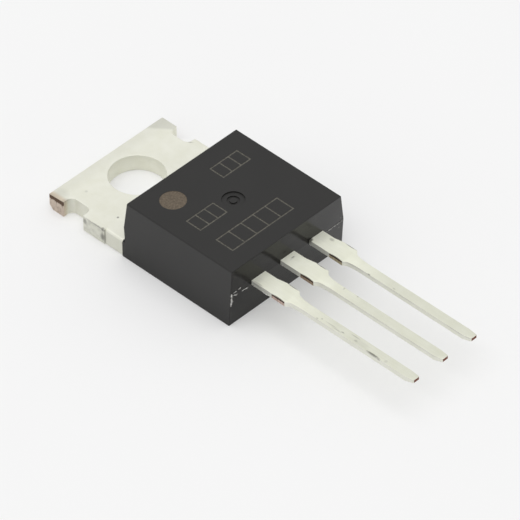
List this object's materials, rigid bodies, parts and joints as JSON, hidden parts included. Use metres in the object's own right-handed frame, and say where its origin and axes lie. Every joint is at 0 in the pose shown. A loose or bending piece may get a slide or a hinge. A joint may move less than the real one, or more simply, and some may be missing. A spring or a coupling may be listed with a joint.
{
  "type": "power transistor",
  "caption": "Power transistor in a flat black moulded body, with a drilled metal mounting tab at one end and a row of straight flat leads at the other.",
  "frame": {"origin": "centre of the mounting hole on the flat metal back", "axes": "+Y to the tab's free end, with the leads along -Y; +Z from the metal back to the top face; +X completes a right-handed frame, so the gate lead is at -X and the source lead at +X"},
  "size_m": [0.01, 0.0291, 0.0044],
  "materials": {
    "moulding": "matte moulded epoxy",
    "tinned_copper": "matte tin plate",
    "silicon": "polished",
    "solder": "satin",
    "bond_wire": "drawn"
  },
  "bodies": {
    "root": {"moulded_body": "moulding", "drain_frame": "tinned_copper", "gate_lead": "tinned_copper", "source_lead": "tinned_copper", "silicon_die": "silicon", "die_solder": "solder", "gate_wire": "bond_wire", "source_wire_1": "bond_wire", "source_wire_2": "bond_wire"}
  },
  "joints": []
}
